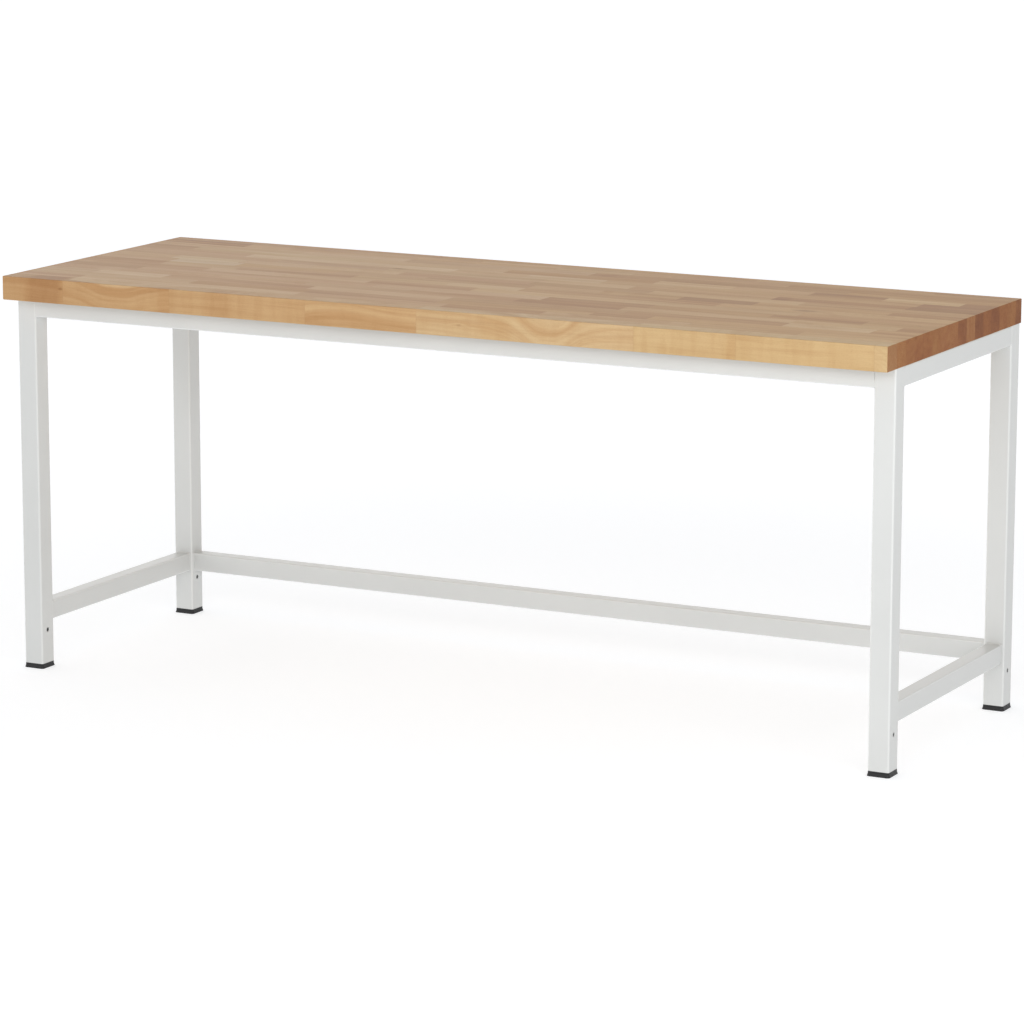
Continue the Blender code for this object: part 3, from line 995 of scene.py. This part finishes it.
# --------------------------------------------------------------------- feet
def foot(node):
    """Flared push-in foot: rounded sole edge, hollowed flare, thin lip under
    the tube, spigot inside it."""
    lo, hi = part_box(node)
    x, y = (lo.x + hi.x) / 2, (lo.y + hi.y) / 2
    wide, top, r = (hi.x - lo.x) / 2, 0.0100, 0.0058

    def ring(half, radius, z):
        return [Vector((x + a, y + b, z)) for a, b in rounded(half, half, radius, 8)]

    shape = []
    for i in range(6):
        a = math.pi / 2 * i / 5
        shape.append((wide - 0.0008 * (1 - math.sin(a)), r, 0.0008 * (1 - math.cos(a))))
    for i in range(1, 7):
        k = i / 6
        shape.append((wide - 0.0018 * (1 - (1 - k) ** 1.6), r - 0.0016 * k, 0.0008 + 0.0072 * k))
    shape += [
        (0.0225, 0.0041, 0.0093),
        (0.0224, 0.0040, 0.0098),
        (0.0221, 0.0038, top),
        (0.0203, 0.0020, top),
        (0.0201, 0.0020, top + 0.0003),
        (0.0201, 0.0020, 0.034),
        (0.0193, 0.0020, 0.036),
        (0.0178, 0.0010, 0.036),
        (0.0176, 0.0008, 0.0357),
        (0.0176, 0.0008, 0.0042),
    ]
    obj = raw("cap_" + node, *loft([ring(*s) for s in shape]))
    return finish(obj, BLACK, node)


for depth in ("front", "rear"):
    for side in ("left", "right"):
        foot(f"foot_{depth}_{side}")


# ---------------------------------------------------------- lugs and screws
def lug(node, reach):
    """Pressed lug, square where it meets its rail and round at its free end."""
    lo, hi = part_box(node)
    mid = (lo + hi) / 2
    hx, hy = (hi.x - lo.x) / 2, (hi.y - lo.y) / 2
    outline = []
    for a, b in rounded(hx, hy, 0.005, 8):
        if b * reach < -(hy - 0.005):
            a, b = math.copysign(hx, a), -reach * hy
        if not outline or (Vector(outline[-1]) - Vector((a, b))).length > 1e-6:
            outline.append((a, b))
    e = 0.0004
    rings = []
    for inset, z in ((e, lo.z), (0.0, lo.z + e), (0.0, hi.z - e), (e, hi.z)):
        rings.append(
            [
                Vector((mid.x + a * (1 - inset / hx), mid.y + b * (1 - inset / hy), z))
                for a, b in outline
            ]
        )
    obj = raw("plate_" + node, *loft(rings))
    s_lo, s_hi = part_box(node.replace("lug", "screw"))
    x, y = (s_lo.x + s_hi.x) / 2, (s_lo.y + s_hi.y) / 2
    drill = turned(
        "drill",
        "Z",
        (x, y, mid.z),
        [(-0.004, 0.0037), (-0.0015, 0.0037), (-0.0011, 0.0033), (0.0011, 0.0033), (0.0015, 0.0037), (0.004, 0.0037)],
        40,
    )
    cut(obj, drill)
    return finish(obj, PAINT, node)


def screw(node):
    """Flanged hexagon-head wood screw, seen from below."""
    lo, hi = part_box(node)
    x, y, seat, bottom = (lo.x + hi.x) / 2, (lo.y + hi.y) / 2, hi.z - 0.032, lo.z
    apothem, flange, shank, sides = 0.0040, 0.0065, 0.0025, 72

    def hexagon(limit):
        pts = []
        for i in range(sides):
            t = 2 * math.pi * i / sides
            bite = (t + math.pi / 6) % (math.pi / 3) - math.pi / 6
            pts.append((min(limit, apothem / math.cos(bite)), t))
        return pts

    def circle(radius):
        return [(radius, 2 * math.pi * i / sides) for i in range(sides)]

    under = seat - 0.0013
    levels = [
        (circle(0.0019), bottom + 0.0006),
        (circle(0.0021), bottom + 0.0004),
        (circle(0.0024), bottom + 0.00005),
        (circle(0.0036), bottom),
        (hexagon(0.0039), bottom + 0.00010),
        (hexagon(0.00425), bottom + 0.00030),
        (hexagon(0.0048), bottom + 0.00065),
        (hexagon(0.0048), under - 0.0003),
        (circle(0.0050), under),
        (circle(0.0057), under + 0.00012),
        (circle(flange - 0.0002), under + 0.00050),
        (circle(flange), under + 0.00075),
        (circle(flange), seat - 0.00015),
        (circle(flange - 0.00015), seat),
        (circle(shank + 0.0003), seat),
        (circle(shank), seat + 0.0003),
        (circle(shank), seat + 0.0265),
        (circle(shank * 0.62), seat + 0.0295),
        (circle(shank * 0.16), seat + 0.0317),
        (circle(shank * 0.04), hi.z),
    ]
    rings = [
        [Vector((x + r * math.cos(t), y + r * math.sin(t), z)) for r, t in ring]
        for ring, z in levels
    ]
    obj = raw("hex_" + node, *loft(rings))
    return finish(obj, ZINC, node, 28)


for side, reach in (("front", 1), ("rear", -1)):
    for label in ("left", "middle", "right"):
        lug(f"fixing_lug_{side}_{label}", reach)
        screw(f"fixing_screw_{side}_{label}")


# -------------------------------------------------------------------- stage
def floor():
    t = Tree("studio_floor")
    p = t.place()
    fleck = t.noise(p, 40.0, 3.0, 0.5)
    t.put(
        t.shader.inputs["Base Color"],
        t.ramp(fleck, [(0.3, (0.49, 0.49, 0.49)), (0.7, (0.51, 0.51, 0.51))]),
    )
    t.shader.inputs["Roughness"].default_value = 0.9
    t.shader.inputs["Specular IOR Level"].default_value = 0.1
    t.shader.inputs["Emission Color"].default_value = (1.0, 1.012, 1.032, 1.0)
    away = t.vec("LENGTH", p, out=1)
    t.put(t.shader.inputs["Emission Strength"], t.remap(away, 1.2, 3.0, 0.585, 0.65))
    half, n = 90.0, 12
    verts = [
        (-half + 2 * half * i / n, -half + 2 * half * j / n, 0.0)
        for j in range(n + 1)
        for i in range(n + 1)
    ]
    faces = [
        (j * (n + 1) + i, j * (n + 1) + i + 1, (j + 1) * (n + 1) + i + 1, (j + 1) * (n + 1) + i)
        for j in range(n)
        for i in range(n)
    ]
    mesh = bpy.data.meshes.new("studio_floor")
    mesh.from_pydata(verts, [], faces)
    mesh.materials.append(t.mat)
    obj = bpy.data.objects.new("studio_floor", mesh)
    bpy.context.scene.collection.objects.link(obj)
    return obj


def sky():
    """Pale all round and overhead, a little brighter behind the bench, with
    one wide bright side low down on the left."""
    world = bpy.data.worlds.new("studio")
    bpy.context.scene.world = world
    world.use_nodes = True
    nt = world.node_tree
    back = nt.nodes["Background"]

    def calc(op, a, b, c=0.0):
        n = nt.nodes.new("ShaderNodeMath")
        n.operation = op
        for i, value in enumerate((a, b, c)):
            if isinstance(value, bpy.types.NodeSocket):
                nt.links.new(value, n.inputs[i])
            else:
                n.inputs[i].default_value = value
        return n.outputs[0]

    def rise(value, low, high):
        n = nt.nodes.new("ShaderNodeMapRange")
        n.interpolation_type = "SMOOTHSTEP"
        nt.links.new(value, n.inputs[0])
        n.inputs[1].default_value, n.inputs[2].default_value = low, high
        return n.outputs[0]

    coord = nt.nodes.new("ShaderNodeTexCoord")
    split = nt.nodes.new("ShaderNodeSeparateXYZ")
    nt.links.new(coord.outputs["Generated"], split.inputs[0])
    x, y, z = split.outputs
    above, crown = rise(z, 0.25, 0.50), rise(z, 0.60, 0.90)
    low, mid = calc("SUBTRACT", 1.0, above), calc("SUBTRACT", above, crown)
    flat = calc("MAXIMUM", calc("MULTIPLY_ADD", x, x, calc("MULTIPLY", y, y)), 1e-6)

    def facing(axis, sign):
        p = calc("MAXIMUM", calc("MULTIPLY", axis, sign), 0.0)
        return calc("DIVIDE", calc("MULTIPLY", p, p), flat)

    front, rear, left = facing(y, -1.0), facing(y, 1.0), facing(x, -1.0)
    ring = calc("MULTIPLY_ADD", front, 0.44, calc("MULTIPLY_ADD", rear, 0.85, 0.38))
    ring = calc("MULTIPLY_ADD", left, 2.70, ring)
    band = calc("MULTIPLY_ADD", front, 0.10, calc("MULTIPLY_ADD", rear, 0.60, 0.30))
    band = calc("MULTIPLY_ADD", left, 0.38, band)
    light = calc("MULTIPLY_ADD", crown, 0.58, calc("MULTIPLY", mid, band))
    light = calc("MULTIPLY_ADD", low, ring, light)
    nt.links.new(light, back.inputs[0])
    back.inputs[1].default_value = 1.0


def softbox(name, place, aim, width, height, power, colour=(1.0, 1.0, 1.0)):
    data = bpy.data.lights.new(name, "AREA")
    data.shape, data.size, data.size_y = "RECTANGLE", width, height
    data.energy, data.color = power, colour
    obj = bpy.data.objects.new(name, data)
    bpy.context.scene.collection.objects.link(obj)
    to = Vector(aim) - Vector(place)
    obj.matrix_world = Matrix.Translation(place) @ to.to_track_quat("-Z", "Y").to_matrix().to_4x4()
    return obj


def camera():
    yaw, pitch, roll = 0.48196203, 0.19697171, -0.00103736
    ahead = Vector(
        (-math.sin(yaw) * math.cos(pitch), math.cos(yaw) * math.cos(pitch), -math.sin(pitch))
    )
    right = Vector((math.cos(yaw), math.sin(yaw), 0.0))
    right = right * math.cos(roll) + ahead.cross(right) * math.sin(roll)
    up = right.cross(ahead)
    data = bpy.data.cameras.new("camera")
    data.sensor_fit, data.sensor_width = "HORIZONTAL", 36.0
    data.lens = 4265.3649 / 1024 * 36.0
    data.clip_start, data.clip_end = 0.05, 400.0
    data.dof.use_dof = False
    obj = bpy.data.objects.new("camera", data)
    bpy.context.scene.collection.objects.link(obj)
    turn = Matrix((right, up, -ahead)).transposed().to_4x4()
    obj.matrix_world = Matrix.Translation((4.0449175, -7.6929477, 2.1125719)) @ turn
    bpy.context.scene.camera = obj


floor()
sky()
for label, turn, height, power in (
    ("softbox_front", 10, 22, 31.0),
    ("softbox_front_right", 35, 22, 26.0),
    ("softbox_right", 60, 9, 45.0),
):
    a, e = math.radians(turn), math.radians(height)
    place = (
        5.0 * math.sin(a) * math.cos(e),
        -5.0 * math.cos(a) * math.cos(e),
        0.5 + 5.0 * math.sin(e),
    )
    softbox(label, place, (0.0, 0.0, 0.5), 2.2, 1.4, power)
camera()
bpy.context.scene.view_settings.view_transform = "Standard"
bpy.context.scene.view_settings.look = "None"

bpy.context.view_layer.update()
